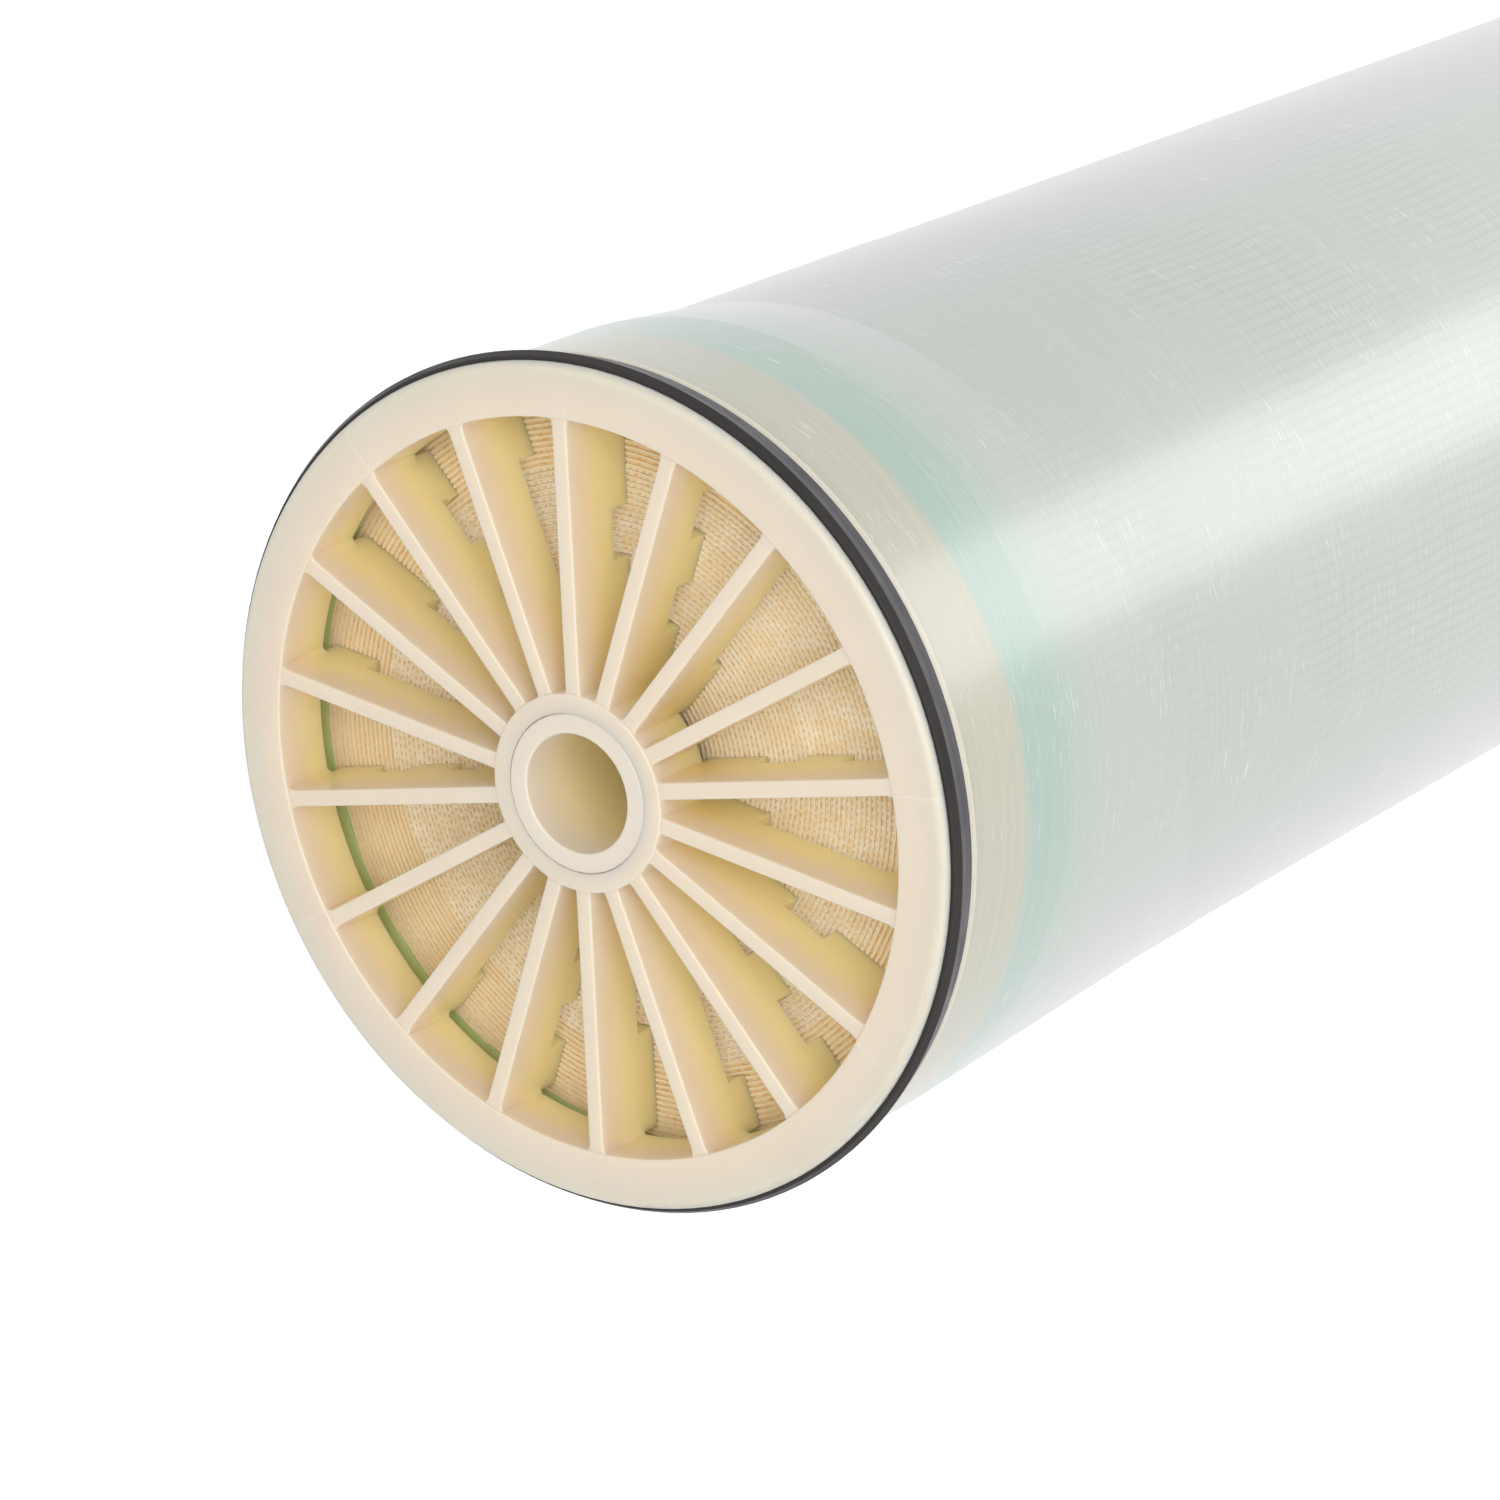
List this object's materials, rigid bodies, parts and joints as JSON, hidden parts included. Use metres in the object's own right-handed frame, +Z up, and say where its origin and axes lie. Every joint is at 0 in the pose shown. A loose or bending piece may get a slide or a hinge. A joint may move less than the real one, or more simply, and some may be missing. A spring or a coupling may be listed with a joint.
{
  "type": "reverse osmosis membrane element",
  "caption": "Spiral-wound water filter element: glass-fibre cylinder with spoked end wheels, central tube and a black lip seal.",
  "frame": {"origin": "on the permeate tube's axis, in the plane of the brine end's rim, which the element stands on", "axes": "+Z up along the permeate tube towards the feed end and its seal, +X through a spoke of the narrow-toothed kind"},
  "size_m": [0.2048, 0.2048, 1.016],
  "materials": {
    "tube_plastic": "white moulded plastic, slightly glossy",
    "wheel_plastic": "cream moulded ABS, satin",
    "seal_rubber": "black EPDM rubber, moulded",
    "carrier_cloth": "knitted polyester cloth set in glue",
    "glass_fibre": "clear resin over wound glass fibre, pale green",
    "glass_fibre_overwrap": "translucent green resin and glass, glossy",
    "membrane_sheet": "cream membrane sheet and carrier cloth, cut edges",
    "spacer_mesh": "tan polypropylene net"
  },
  "bodies": {
    "root": {"brine_end_overwrap": "glass_fibre_overwrap", "brine_end_wheel": "wheel_plastic", "brine_seal": "seal_rubber", "core_carrier_wrap": "carrier_cloth", "feed_end_overwrap": "glass_fibre_overwrap", "feed_end_wheel": "wheel_plastic", "feed_spacer_01": "spacer_mesh", "feed_spacer_02": "spacer_mesh", "feed_spacer_03": "spacer_mesh", "feed_spacer_04": "spacer_mesh", "feed_spacer_05": "spacer_mesh", "feed_spacer_06": "spacer_mesh", "feed_spacer_07": "spacer_mesh", "feed_spacer_08": "spacer_mesh", "feed_spacer_09": "spacer_mesh", "feed_spacer_10": "spacer_mesh", "feed_spacer_11": "spacer_mesh", "feed_spacer_12": "spacer_mesh", "feed_spacer_13": "spacer_mesh", "feed_spacer_14": "spacer_mesh", "feed_spacer_15": "spacer_mesh", "feed_spacer_16": "spacer_mesh", "frp_shell": "glass_fibre", "membrane_leaf_01": "membrane_sheet", "membrane_leaf_02": "membrane_sheet", "membrane_leaf_03": "membrane_sheet", "membrane_leaf_04": "membrane_sheet", "membrane_leaf_05": "membrane_sheet", "membrane_leaf_06": "membrane_sheet", "membrane_leaf_07": "membrane_sheet", "membrane_leaf_08": "membrane_sheet", "membrane_leaf_09": "membrane_sheet", "membrane_leaf_10": "membrane_sheet", "membrane_leaf_11": "membrane_sheet", "membrane_leaf_12": "membrane_sheet", "membrane_leaf_13": "membrane_sheet", "membrane_leaf_14": "membrane_sheet", "membrane_leaf_15": "membrane_sheet", "membrane_leaf_16": "membrane_sheet", "permeate_tube": "tube_plastic"}
  },
  "joints": []
}
